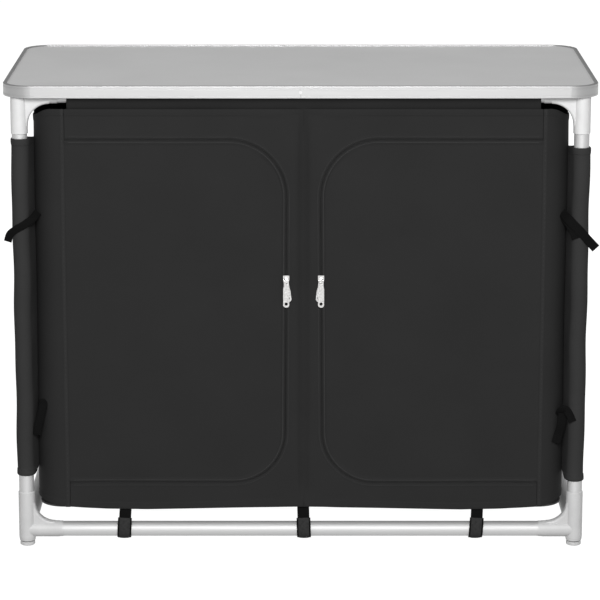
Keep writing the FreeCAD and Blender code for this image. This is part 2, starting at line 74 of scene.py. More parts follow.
def add(tree, kind, settings=None, inputs=None):
    """Adds one node, sets its properties, and gives each input a value or a link from a socket."""
    node = tree.nodes.new(kind)
    for key, value in (settings or {}).items():
        setattr(node, key, value)
    for key, value in (inputs or {}).items():
        if isinstance(value, bpy.types.NodeSocket):
            tree.links.new(value, node.inputs[key])
        else:
            node.inputs[key].default_value = value
    return node


def finish_of(name, **sockets):
    """A new material with its principled shader, whose plain values are set on the shader's own sockets."""
    material = bpy.data.materials.new(name)
    material.use_nodes = True
    tree = material.node_tree
    shader = tree.nodes["Principled BSDF"]
    for key, value in sockets.items():
        shader.inputs[key.replace("_", " ")].default_value = value
    return material, tree, shader


print("black cloth in linear light:", [round(c, 4) for c in linear("#1F1F1F")[:3]])

# %% [markdown]
# ## Camera, floor and light
# The camera stands five metres away with a long lens, a little above the board, and looks slightly
# down. That keeps the front almost free of perspective and shows the board as a thin band. The light is
# a plain studio: a pale floor, an even white surround, and large soft lamps above and in front, so that
# cloth turning away to the sides falls off into shade. Two lamps behind reach the sides and the back.
# They are kept out of reflections, or the board would show them as a white patch. The floor glows by
# itself and throws no light on the table, or every tube would have a hard white lower edge.

# %% Camera
scene = bpy.context.scene
scene.view_settings.view_transform = "Standard"
camera_data = bpy.data.cameras.new("camera")
camera = bpy.data.objects.new("camera", camera_data)
scene.collection.objects.link(camera)
camera.location = (0.0, -5.0, 1.528)
camera.rotation_euler = (math.pi / 2 - 0.2193, 0.0, 0.0)
camera_data.sensor_width = 36.0
camera_data.lens = 178.9
camera_data.shift_x = -0.0010
camera_data.shift_y = -0.040
camera_data.clip_end = 200.0
scene.camera = camera
print("camera at", tuple(camera.location), "lens", camera_data.lens)

# %% Floor and lamps
world = bpy.data.worlds.new("studio")
world.use_nodes = True
world.node_tree.nodes["Background"].inputs["Color"].default_value = (1.0, 1.0, 1.0, 1.0)
world.node_tree.nodes["Background"].inputs["Strength"].default_value = 0.24
scene.world = world

# A foot wound right out reaches 11.5 mm further down, and the floor leaves room for it.
FLOOR_LEVEL = -11.8 * MM
floor_mesh = bpy.data.meshes.new("studio_floor")
floor_corners = [(x, y, FLOOR_LEVEL) for x, y in ((-40, -20), (40, -20), (40, 60), (-40, 60))]
floor_mesh.from_pydata(floor_corners, [], [(0, 1, 2, 3)])
floor = bpy.data.objects.new("studio_floor", floor_mesh)
scene.collection.objects.link(floor)
floor.visible_diffuse = False
paint, tree, shader = finish_of("lit_white_floor", Base_Color=linear("#666666"), Roughness=0.95)
shader.inputs["Emission Color"].default_value = (1.0, 1.0, 1.0, 1.0)
shader.inputs["Emission Strength"].default_value = 1.0
floor_mesh.materials.append(paint)


def lamp(name, place, aim, size, power):
    """A square soft lamp at a place, turned so that its back points away from what it aims at."""
    data = bpy.data.lights.new(name, "AREA")
    data.size = size
    data.energy = power
    lit = bpy.data.objects.new(name, data)
    scene.collection.objects.link(lit)
    back = np.array(place, float) - np.array(aim, float)
    turn = math.atan2(back[0], -back[1])
    lean = math.atan2(math.hypot(back[0], back[1]), back[2])
    lit.location = place
    lit.rotation_euler = (lean, 0.0, turn)
    return lit


lamp("overhead", (0.0, 0.6, 4.2), (0.0, 0.1, 0.0), 4.5, 36.0)
for name, x in (("rear_left", -3.5), ("rear_right", 3.5)):
    lit = lamp(name, (x, 3.7, 2.4), (0.0, 0.0, 0.4), 1.8, 110.0)
    lit.visible_glossy = False
lamp("front", (0.0, -4.4, 2.3), (0.0, 0.0, 0.45), 1.8, 262.0)

# %% [markdown]
# ## Finishes of the hard pieces
# The rim and tubes are satin anodised aluminium: a grey-white metal whose drawing lines run along the
# bar. The fittings and feet are glass-filled nylon, moulded in a light grey with a fine sandy grain. The
# upper fittings and clips are given a lighter grey as painted light, and the lower fittings and feet a
# darker grey as painted shade.
# The board has a plain grey melamine laminate with a faint mottle. Rivets, screws and zip parts are
# bright nickel or zinc-plated steel.


# %% Metals, nylon and laminate
def drawn_metal(name, swatch, roughness, metal, along):
    """Anodised aluminium: noise stretched 60 times along the bar gives faint drawing lines 1.5 mm apart."""
    material, tree, shader = finish_of(name, Base_Color=linear(swatch), Metallic=metal, Roughness=roughness)
    place = add(tree, "ShaderNodeTexCoord")
    across, length = 1 / (1.5 * MM), 1 / (90 * MM)
    scale = [length if axis in along else across for axis in "xyz"]
    turned = add(tree, "ShaderNodeMapping", None, {"Vector": place.outputs["Object"], "Scale": scale})
    noise = {"Vector": turned.outputs[0], "Scale": 1.0, "Detail": 2.0}
    lines = add(tree, "ShaderNodeTexNoise", None, noise)
    spread = {"Value": lines.outputs[0], "To Min": roughness - 0.07, "To Max": roughness + 0.09}
    rough = add(tree, "ShaderNodeMapRange", None, spread)
    tree.links.new(rough.outputs[0], shader.inputs["Roughness"])
    lift = {"Height": lines.outputs[0], "Strength": 0.12, "Distance": 0.08 * MM}
    bump = add(tree, "ShaderNodeBump", None, lift)
    tree.links.new(bump.outputs[0], shader.inputs["Normal"])
    return material


def shade_and_lift(tree, shader, shade, colours, relief):
    """Blends the light and dark colour by one pattern's range, and lifts the surface by another's height."""
    pattern, low, high = shade
    share = {"Value": pattern.outputs[0], "From Min": low, "From Max": high}
    share = add(tree, "ShaderNodeMapRange", None, share)
    blend = {0: share.outputs[0], 6: linear(colours[1]), 7: linear(colours[0])}
    colour = add(tree, "ShaderNodeMix", {"data_type": "RGBA"}, blend)
    tree.links.new(colour.outputs[2], shader.inputs["Base Color"])
    height, strength, depth_mm = relief
    lift = {"Height": height.outputs[0], "Strength": strength, "Distance": depth_mm * MM}
    bump = add(tree, "ShaderNodeBump", None, lift)
    tree.links.new(bump.outputs[0], shader.inputs["Normal"])


def grained(name, light, dark, roughness, grain_mm, depth_mm, mottle_mm=30.0, **sockets):
    """Moulded or pressed surface: fine noise at the grain's size lifts it, slow noise shades it."""
    material, tree, shader = finish_of(name, Roughness=roughness, **sockets)
    place = add(tree, "ShaderNodeTexCoord").outputs["Object"]
    fine = {"Vector": place, "Scale": 1 / (grain_mm * MM), "Detail": 3.0}
    grain = add(tree, "ShaderNodeTexNoise", None, fine)
    slow = {"Vector": place, "Scale": 1 / (mottle_mm * MM), "Detail": 2.0}
    mottle = add(tree, "ShaderNodeTexNoise", None, slow)
    both = {0: grain.outputs[0], 1: mottle.outputs[0]}
    blend = add(tree, "ShaderNodeMath", {"operation": "ADD"}, both)
    shade_and_lift(tree, shader, (blend, 0.7, 1.3), (light, dark), (grain, 0.35, depth_mm))
    return material


# Satin anodising gives a broad soft highlight; moulded nylon a paler, flatter one; plated parts glitter.
anodised_rim = drawn_metal("anodised_rim", "#A6A6A6", 0.38, 0.8, "xy")
anodised_tube = {axis: drawn_metal(f"anodised_tube_{axis}", "#B8B8B8", 0.58, 0.5, axis) for axis in "xyz"}
# One nylon in two greys: the lighter one on the upper fittings and clips is painted light, the darker one on
# the lower fittings and feet is painted shade.
painted_light_nylon = grained("grey_nylon_painted_light", "#CBCBCB", "#BFBFBF", 0.48, 0.9, 0.05)
painted_shade_nylon = grained("grey_nylon_painted_shade", "#BABABA", "#AFAFAF", 0.5, 0.9, 0.05)
laminate = grained("grey_melamine_laminate", "#BABABA", "#B4B4B4", 0.42, 1.6, 0.02, 120.0)
plated_steel = grained("zinc_plated_steel", "#CACACA", "#B6B6B6", 0.3, 0.7, 0.02, Metallic=1.0)
nickel = grained("polished_nickel", "#DCDBDA", "#9C9B9A", 0.26, 0.9, 0.05, 2.5, Metallic=1.0)
board_core = grained("black_stiffener_board", "#2E2E2E", "#252525", 0.7, 1.2, 0.08)
print("hard finishes:", len(bpy.data.materials))

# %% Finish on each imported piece
FINISH = [
    (anodised_rim, ("tabletop_rim",)),
    (laminate, ("tabletop_board",)),
    (plated_steel, ("rim_rivet", "clip_screws")),
    (painted_light_nylon, ("board_clips", "upper_corner")),
    (painted_shade_nylon, ("lower_corner", "levelling_foot")),
    (anodised_tube["x"], ("upper_rail_front", "upper_rail_rear", "lower_rail_front", "lower_rail_rear")),
    (anodised_tube["y"], ("upper_rail", "lower_rail")),
    (anodised_tube["z"], ("leg_front", "leg_rear")),
    (nickel, ("zip_slider", "zip_pull")),
    (board_core, ("floor_boards",)),
]
for name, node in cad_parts.items():
    match = [material for material, starts in FINISH if name.startswith(starts)]
    if match:
        node.data.materials.clear()
        node.data.materials.append(match[0])
print("packed pieces with a finish:", sum(bool(o.data.materials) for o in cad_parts.values()))

# %% [markdown]
# ## Finishes of the cloth pieces
# The cupboard is black polyester in a plain weave with a thin coating on the back. It looks dull and
# dark, with a weave that only shows close up. Webbing has a coarser rib across its width, and
# hook-and-loop tape is a fuzz, drawn grey where it stands up and near-black between: painted light and
# painted shade. All of them read the piece's own flat cloth map, which is in metres, so the threads
# follow every fold.


# %% Cloth
# A wave texture of scale 0.31416 has one band to each metre of the cloth map.
WAVE_OF_ONE_METRE = 0.31416


def woven(name, light, dark, thread_mm, depth_mm, rib=1.0, fuzz=0.25, roughness=0.78, shine=0.14):
    """Plain weave: two sine waves across each other, one per thread, times a slow noise for the yarn."""
    material, tree, shader = finish_of(name, Roughness=roughness, Specular_IOR_Level=shine)
    flat = add(tree, "ShaderNodeUVMap", {"uv_map": "cloth"}).outputs[0]
    period = WAVE_OF_ONE_METRE / (thread_mm * MM)
    threads = []
    for direction, scale in (("X", period), ("Y", period * rib)):
        bands = {"wave_type": "BANDS", "bands_direction": direction}
        wave = {"Vector": flat, "Scale": scale, "Distortion": 0.6, "Detail": 1.0}
        threads.append(add(tree, "ShaderNodeTexWave", bands, wave).outputs["Fac"])
    uneven = {"Vector": flat, "Scale": 1 / (2.2 * thread_mm * MM), "Detail": 3.0}
    yarn = add(tree, "ShaderNodeTexNoise", None, uneven)
    slow = add(tree, "ShaderNodeTexNoise", None, {"Vector": flat, "Scale": 9.0, "Detail": 3.0})
    times = {"operation": "MULTIPLY"}
    cross = add(tree, "ShaderNodeMath", times, {0: threads[0], 1: threads[1]})
    fibre = add(tree, "ShaderNodeMath", times, {0: yarn.outputs[0], 1: fuzz})
    height = add(tree, "ShaderNodeMath", {"operation": "ADD"}, {0: cross.outputs[0], 1: fibre.outputs[0]})
    mixed = {0: height.outputs[0], 1: 0.45, 2: slow.outputs[0]}
    shade = add(tree, "ShaderNodeMath", {"operation": "MULTIPLY_ADD"}, mixed)
    shade_and_lift(tree, shader, (shade, 0.35, 1.05), (light, dark), (height, 0.5, depth_mm))
    return material


# The real threads are about 0.4 mm apart; they are drawn 1.2 mm apart, which is what can just show.
polyester = woven("black_polyester_weave", "#1F1F1F", "#1B1B1B", 1.2, 0.10)
lining = woven("black_coated_backing", "#181818", "#151515", 1.2, 0.05, roughness=0.7)
webbing = woven("black_ribbed_webbing", "#0E0E0E", "#060606", 1.6, 0.25, rib=0.5, shine=0.05)
# The leg sleeves are the same black cloth, drawn in a lighter grey: painted light, so the front-lit sleeves
# read brighter.
sleeve_weave_painted_light = woven("black_weave_painted_light", "#313131", "#2B2B2B", 1.2, 0.10, roughness=0.8, shine=0.05)
# The seam tape is black; its lighter grey than the cloth is a painted highlight along each seam.
binding = woven("black_seam_tape_painted_highlight", "#242424", "#202020", 0.8, 0.10, roughness=0.75, shine=0.12)
# The loop tape's grey where the fuzz stands up is painted light; the near-black between is painted shade.
fuzz_tape_painted_light_and_shade = woven("hook_and_loop_fuzz_painted_light_and_shade", "#313131", "#0C0C0C", 2.0, 0.8, fuzz=2.2, roughness=0.95, shine=0.05)
# Zip tape and coil are black, drawn a little lighter than the cloth: painted light that lifts the shade of
# the groove they lie in.
zip_tape_painted_light = woven("black_zip_band_painted_light", "#242424", "#1E1E1E", 0.9, 0.08)
coil_painted_light = grained("black_nylon_coil_painted_light", "#222222", "#1C1C1C", 0.6, 1.0, 0.03, Specular_IOR_Level=0.15)
thread = grained("black_sewing_thread", "#232323", "#1D1D1D", 0.7, 0.5, 0.05)
grey_thread = grained("dark_grey_sewing_thread", "#323232", "#2A2A2A", 0.7, 0.5, 0.05)
print("cloth finishes:", [m.name for m in (polyester, lining, webbing, fuzz_tape_painted_light_and_shade, zip_tape_painted_light)])

# %% [markdown]
# ## From arrays to meshes
# A sheet is a grid of points with a front and a back face joined by a rim, so it is closed like real
# cloth. A strap, tape or coil is a profile carried along a path. A row of stitches is one small bead
# repeated. Each is a shell of points, faces and flat cloth places, and a piece may hold several shells.
# A shell whose signed volume comes out negative is inside out, so its faces are reversed.


# %% Shells
def columns(*parts):
    """Arrays side by side along a new last axis, each first stretched to the shape they share."""
    return np.stack(np.broadcast_arrays(*parts), axis=-1)


def quads(index):
    """The four-cornered faces of a grid of point numbers, right first and then up."""
    a, b = index[:-1, :-1], index[:-1, 1:]
    c, d = index[1:, 1:], index[1:, :-1]
    return columns(a, b, c, d).reshape(-1, 4)


def outward(points, faces, flat):
    """Reverses all faces if the sum of the tetrahedra from the middle to each face is negative."""
    middle = points - points.mean(0)
    volume = 0.0
    for f in faces:
        a, b, c = middle[f[:, 0]], middle[f[:, 1]], middle[f[:, 2]]
        volume += float((a * np.cross(b, c)).sum())
        if f.shape[1] == 4:
            volume += float((a * np.cross(c, middle[f[:, 3]])).sum())
    if volume < 0:
        faces = [f[:, ::-1] for f in faces]
    return points, faces, flat


def sheet_shell(front, back, flat):
    """Closed sheet: the front grid, the back grid, and a rim that joins their four sides."""
    rows, cols = front.shape[:2]
    index = np.arange(rows * cols).reshape(rows, cols)
    ring = np.concatenate([index[0, :-1], index[:-1, -1], index[-1, :0:-1], index[:0:-1, 0]])
    after = np.roll(ring, -1)
    rim = columns(after, ring, ring + rows * cols, after + rows * cols)
    points = np.concatenate([front.reshape(-1, 3), back.reshape(-1, 3)])
    faces = [quads(index), quads(index + rows * cols)[:, ::-1], rim]
    places = np.concatenate([flat.reshape(-1, 2), flat.reshape(-1, 2)])
    return outward(points, faces, places)


def unit(vectors):
    """Each vector divided by its own length."""
    return vectors / np.maximum(np.linalg.norm(vectors, axis=-1, keepdims=True), 1e-12)


def normals_of(grid):
    """Unit normal at each grid point: the cross product of the two grid directions."""
    return unit(np.cross(np.gradient(grid, axis=1), np.gradient(grid, axis=0)))


def heading(path):
    """Unit direction of a line at each of its points, from the point before to the point after."""
    return unit(np.gradient(path, axis=0))


def circle(turn):
    """Point of a circle of radius 1 at each angle: its cosine and its sine."""
    return columns(np.cos(turn), np.sin(turn))


def along(path):
    """Distance along a line of points, from 0 at its start."""
    return np.concatenate([[0.0], np.cumsum(np.linalg.norm(np.diff(path, axis=0), axis=1))])


def thick(grid, thickness, flat):
    """A sheet of even thickness about a middle grid, half of it to each side along the normals."""
    half = normals_of(grid) * thickness / 2
    return sheet_shell(grid + half, grid - half, flat)


def swept(path, side, up, profile):
    """Profile carried along a path: each ring is path + side * across + up * height, with closed ends."""
    profile = np.broadcast_to(profile, (len(path), *np.shape(profile)[-2:]))
    rings = path[:, None] + side[:, None] * profile[..., :1] + up[:, None] * profile[..., 1:]
    count, around = rings.shape[:2]
    index = np.arange(count * around).reshape(count, around)
    index = np.concatenate([index, index[:, :1]], axis=1)
    first = columns(index[0, 1:], index[0, :-1], count * around)
    last = columns(index[-1, :-1], index[-1, 1:], count * around + 1)
    points = np.concatenate([rings.reshape(-1, 3), rings[[0, -1]].mean(1)])
    run = along(path)
    flat = columns(profile[..., 0], run[:, None]).reshape(-1, 2)
    flat = np.concatenate([flat, [[0.0, run[0]], [0.0, run[-1]]]])
    return outward(points, [quads(index), first, last], flat)


def cushion(width, thickness):
    """Section of fuzzy loop tape: half an ellipse on top of a flat back."""
    turn = np.linspace(0, np.pi, 11)
    top = columns(width / 2 * np.cos(turn), thickness * (np.sin(turn) ** 0.6 - 0.35))
    return np.concatenate([top, top[1:-1][::-1] * [1, 0] - [0, 0.35 * thickness]])


def beads(places, ahead, up, length, radius):
    """Stitches: one small six-sided bead, pointed at both ends, copied to every place at once."""
    turn = np.linspace(0, 2 * np.pi, 6, endpoint=False)[:, None]
    ring = np.cross(ahead, up)[:, None] * np.cos(turn) + up[:, None] * np.sin(turn)
    rows = [places[:, None] + ahead[:, None] * length * f + ring * radius for f in (-0.3, 0.3)]
    tips = [places[:, None] + ahead[:, None] * length * f for f in (-0.5, 0.5)]
    points = np.concatenate([*rows, *tips], axis=1)
    a = np.arange(6)
    b = (a + 1) % 6
    body = columns(a, b, b + 6, a + 6)
    ends = np.concatenate([columns(b, a, 12), columns(a + 6, b + 6, 13)])
    shift = (np.arange(len(places)) * 14)[:, None, None]
    faces = [(body + shift).reshape(-1, 4), (ends + shift).reshape(-1, 3)]
    flat = np.zeros((len(places) * 14, 2))
    return outward(points.reshape(-1, 3), faces, flat)


def piece(name, shells, material, body, stands_for=()):
    """Joins shells into one object, stores the flat cloth map, and lets it ride on a body."""
    points, faces, flat, start = [], [], [], 0
    for p, f, places in shells:
        points.append(p)
        flat.append(places)
        faces.extend((each + start).tolist() for each in f)
        start += len(p)
    mesh = bpy.data.meshes.new(name)
    mesh.from_pydata(np.concatenate(points).tolist(), [], [face for group in faces for face in group])
    mesh.shade_smooth()
    mesh.set_sharp_from_angle(angle=math.radians(50))
    corner = np.zeros(len(mesh.loops), np.int32)
    mesh.loops.foreach_get("vertex_index", corner)
    layer = mesh.uv_layers.new(name="cloth")
    layer.data.foreach_set("uv", np.concatenate(flat)[corner].astype(np.float32).ravel())
    mesh.materials.append(material)
    made = bpy.data.objects.new(name, mesh)
    scene.collection.objects.link(made)
    if body:
        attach(made, body)
    if stands_for:
        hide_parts(*stands_for)
    return made


print("mesh tools ready")

# %% [markdown]
# ## The outline that the cupboard's cloth follows
# The cupboard is one band of cloth: a flat front, a rounded corner, a side, another corner, and the
# back. Every cloth panel is laid out flat first, by its distance round this band and its height, and
# then wrapped on the band. That is how it is cut and sewn, and the weave follows it by itself.

# %% Outline
# Half width, front and back face, and corner radius of the band, in metres like every size here.
HALF_X, FACE_Y, CORNER = 0.439, 0.2212, 0.044
FLAT_HALF = HALF_X - CORNER
ARC = CORNER * math.pi / 2
SIDE = 2 * (FACE_Y - CORNER)
REAR_MIDDLE = 2 * FLAT_HALF + 2 * ARC + SIDE
# The middle seam stands 5 mm to the right, and the side seams are 385 mm round the band from x = 0.
MIDDLE, SEAM = 0.005, 0.385
CLOTH = 0.0012
# Heights of the upper edge and the hem, the height a panel is cut, and where the hem has turned the corner.
TOP, HEM_Z = 0.740, 0.0665
PANEL_HIGH, TURNED = 0.674, 0.46
SHELF_Z = float(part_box("shelf_left")[0][2])
# The hem's rise above HEM_Z at places round the front, both in mm, with the middle of the front at 0.
HEM_LINE = [
    *((-470, 12), (-446, 12), (-424, 7), (-404, 3.2), (-354, -0.5), (-321, -2.3), (-257, -3.2), (-192, -1.8)),
    *((-127, -0.5), (-62, 0.8), (51, 2.4), (164, 1.5), (262, 0.8), (327, -0.2), (391, 1.6), (424, 5.8)),
    *((446, 12), (470, 12)),
]


def step01(value):
    """Smooth step: 0 below 0, 1 above 1, and 3 v^2 - 2 v^3 between them."""
    v = np.clip(value, 0, 1)
    return v * v * (3 - 2 * v)


def hem_height(s):
    """Lower edge of the band: it sags between the rail straps and rises round the corners."""
    place, rise = np.transpose(HEM_LINE)
    return HEM_Z + np.interp(np.asarray(s) / MM, place, rise) * MM


def lower_edge(s):
    """The hem anywhere round the band: level along the sides, and the front's mirror image at the back."""
    front_and_sides = hem_height(np.clip(s, -TURNED, TURNED))
    return np.where(np.abs(s) > REAR_MIDDLE - TURNED, hem_height(REAR_MIDDLE - np.abs(s)), front_and_sides)


def top_height(s):
    """Upper edge of the band: level along the front, 13 mm lower once it has turned the corner."""
    a = np.minimum(np.abs(s), REAR_MIDDLE - np.abs(s))
    return TOP - 0.013 * step01((a - 0.408) / 0.040)


def waves(s, z):
    """Slow unevenness of hung cloth, in metres outwards: three long sine waves that cross each other."""
    return (
        0.0009 * np.sin(11.0 * s + 5.0 * z + 0.6)
        + 0.0006 * np.sin(7.0 * s - 17.0 * z + 1.9)
        + 0.0005 * np.sin(29.0 * s + 9.0 * z + 0.4)
    )


def on_band(s, z, out):
    """Point of the band: round the outline by s from the front's middle, up by z, and outwards by out."""
    a = np.abs(s)
    sign = np.where(s < 0, -1.0, 1.0)
    first = np.clip((a - FLAT_HALF) / CORNER, 0, np.pi / 2)
    side = np.clip(a - FLAT_HALF - ARC, 0, SIDE)
    second = np.clip((a - FLAT_HALF - ARC - SIDE) / CORNER, 0, np.pi / 2)
    back = np.clip(a - FLAT_HALF - 2 * ARC - SIDE, 0, None)
    x = np.minimum(a, FLAT_HALF) + CORNER * np.sin(first) - CORNER * (1 - np.cos(second)) - back
    y = -FACE_Y + CORNER * (1 - np.cos(first)) + side + CORNER * np.sin(second)
    turned = first + second
    x = (x + np.sin(turned) * out) * sign
    return columns(x, y - np.cos(turned) * out, z)


def marks(length, edge, step):
    """Places along a cut edge: the given fine ones from both ends, and even steps between them."""
    edge = np.asarray(edge) * MM
    inner = np.linspace(edge[-1], length - edge[-1], max(3, int((length - 2 * edge[-1]) / step) + 2))
    return np.concatenate([edge[:-1], inner, length - edge[-2::-1]])


# Places of the fine rows beside a hem and beside a seam, in mm from the cut edge.
HEM = [0, 0.4, 1.0, 2.0, 4.0, 7.0, 8.2, 9.0, 9.8, 10.6, 12.5]
SEWN = [0, 0.4, 1.0, 1.8, 2.8, 4.0, 6.0]


def hem(d):
    """A folded hem: 0.8 mm thicker for 10 mm, with a dip at the stitch line and a rounded edge."""
    d = d / MM
    dip = 0.35 * np.exp(-(((d - 8.6) / 0.8) ** 2))
    return (0.8 * (1 - step01((d - 9.6) / 1.2)) - dip - 0.9 * (1 - step01(d / 1.4))) * MM


def seam(d):
    """A sewn seam: the cloth swells 0.4 mm over 3 mm beside it and dips to it at its edge."""
    d = d / MM
    return (0.4 * np.exp(-(((d - 2.5) / 2.0) ** 2)) - 0.25 * (1 - step01(d / 1.2))) * MM


print("the band is", round(2 * REAR_MIDDLE, 3), "m round")

# %% [markdown]
# ## Sides and back
# Each side is one cloth with both rounded corners, from the seam on the front to the seam on the back.
# Its upper and lower edges are folded and stitched hems. The side is pulled in a little between the
# legs, because it only hangs from its four corners, but the shelf holds it out at its own height.


# %% Side and back panels
def band_panel(start, end):
    """Cloth from start to end round the band: hems above and below, seams at both ends."""
    s = start + marks(end - start, SEWN, 0.009)
    height = marks(PANEL_HIGH, HEM, 0.014) / PANEL_HIGH
    low, high = lower_edge(s), top_height(s)
    z = low + (high - low) * height[:, None]
    ends = np.minimum(s - start, end - s)
    edges = np.minimum(z - low, high - z)
    round_side = np.clip((np.abs(s) - FLAT_HALF - ARC) / SIDE, 0, 1)
    held_out = 1 - np.exp(-(((z - SHELF_Z) / 0.11) ** 2))
    pulled = 0.005 * np.sin(np.pi * round_side) ** 2 * np.sin(np.pi * height[:, None]) * held_out
    out = -CLOTH / 2 + waves(s, z) * step01(ends / 0.05) + seam(ends) + hem(edges) - pulled
    return thick(on_band(s, z, out), CLOTH, columns(s, z))


REAR_SEAM = REAR_MIDDLE - SEAM
width = REAR_SEAM - SEAM
right_seam = SEAM + 2 * MIDDLE
panels = {
    "side_cloth_left": (band_panel(-REAR_SEAM, -SEAM), "side_panel_left", width),
    "side_cloth_right": (band_panel(right_seam, REAR_SEAM), "side_panel_right", width - 2 * MIDDLE),
    "back_cloth": (band_panel(REAR_SEAM, 2 * REAR_MIDDLE - REAR_SEAM), "back_panel", 2 * SEAM),
}
for name, (shell, node, run) in panels.items():
    cloth = piece(name, [shell], polyester, "table", [node])
    print(name, "is", round(run, 3), "m wide")

# %% [markdown]
# ## The line of the zip
# Each door is a D: straight along the hinge seam, round at the two corners near the middle. The zip
# follows the D's curved side. The same line shapes the door's edge, the edge of the panel around it,
# the tapes, the coil and the stitches, so it is made once, for the left door. The right door is its
# mirror image about the middle seam.

# %% Zip line
DOOR_LOW, DOOR_HIGH = 0.110, 0.690
LOW_ROUND, HIGH_ROUND = 0.087, 0.095
LOW_Z, HIGH_Z = DOOR_LOW + LOW_ROUND, DOOR_HIGH - HIGH_ROUND


def inner_line(z):
    """Place of the straight inner run: 27 mm left of the middle at the top, 31 mm at the bottom."""
    return MIDDLE - 0.031 + 0.004 * (z - DOOR_LOW) / (DOOR_HIGH - DOOR_LOW)


LOW_X = inner_line(LOW_Z) - LOW_ROUND
HIGH_X = inner_line(HIGH_Z) - HIGH_ROUND


def door_depth(s, z):
    """Distance from the zip line into the door: the nearest run, or the corner's radius less the reach."""
    depth = np.minimum(np.minimum(inner_line(z) - s, z - DOOR_LOW), DOOR_HIGH - z)
    low = (s > LOW_X) & (z < LOW_Z)
    high = (s > HIGH_X) & (z > HIGH_Z)
    depth = np.where(low, LOW_ROUND - np.hypot(s - LOW_X, z - LOW_Z), depth)
    return np.where(high, HIGH_ROUND - np.hypot(s - HIGH_X, z - HIGH_Z), depth)


def zip_line(step):
    """Points (s, z) from the lower end of the hinge seam round to the upper end, and the way out."""
    turn = np.linspace(0, np.pi / 2, int(LOW_ROUND * np.pi / 2 / step) + 1)
    low = columns(LOW_X + LOW_ROUND * np.sin(turn), DOOR_LOW + LOW_ROUND * (1 - np.cos(turn)))
    high = columns(HIGH_X + HIGH_ROUND * np.cos(turn), DOOR_HIGH - HIGH_ROUND * (1 - np.sin(turn)))
    s = np.linspace(-SEAM + 0.001, LOW_X, int((LOW_X + SEAM) / step) + 1)[:-1]
    z = np.linspace(LOW_Z, HIGH_Z, int((HIGH_Z - LOW_Z) / step) + 1)[1:-1]
    e = np.linspace(HIGH_X, -SEAM + 0.001, int((HIGH_X + SEAM) / step) + 1)[1:]
    runs = [columns(s, DOOR_LOW), low, columns(inner_line(z), z), high, columns(e, DOOR_HIGH)]
    line = np.concatenate(runs)
    ahead = heading(line)
    return line, columns(ahead[:, 1], -ahead[:, 0])


def front_waves(s, z):
    """Slow waves, small where the sliders run, and the middle seam's valley, 5 mm deep between the hems."""
    deep = 0.0050 - 0.0020 * step01((z - 0.700) / 0.040) - 0.0040 * step01((0.105 - z) / 0.030)
    run = (np.abs(s - MIDDLE) - 0.029) / 0.022
    return waves(s, z) * (1 - np.exp(-(run**2))) - deep * np.exp(-(((s - MIDDLE) / 0.0085) ** 2))


def fold(d, height):
    """The folded edge beside a zip: raised for 4 mm, rounded down at the edge, stitched at 3 mm."""
    d = d / MM
    ridge = step01(d / 0.9) * (1 - step01((d - 4.2) / 1.6))
    return height * ridge - 0.5 * (1 - step01(d / 0.7)) * MM


# Half the gap between the two folded edges, and the fine rows beside such an edge in mm.
ZIP_GAP = 0.0016
FOLDED = [0, 0.3, 0.7, 1.2, 2.2, 3.4, 4.4, 5.2, 6.2, 8.0]


def on_side(s, side):
    """A place on the left door (side -1) as it is, or for the right one mirrored about the middle seam."""
    return s if side < 0 else 2 * MIDDLE - s


line, out_way = zip_line(0.006)
print("zip line", round(float(along(line)[-1]), 3), "m long")

# %% [markdown]
# ## The front panel round the doors
# Around each door lies a strip of the same cloth, from the zip out to the seam, the hem, the middle
# seam and the upper edge. It is a ring of points from the zip line to the panel's edge, each on a ray,
# so the cells turn the corners with the zip instead of cutting across it.


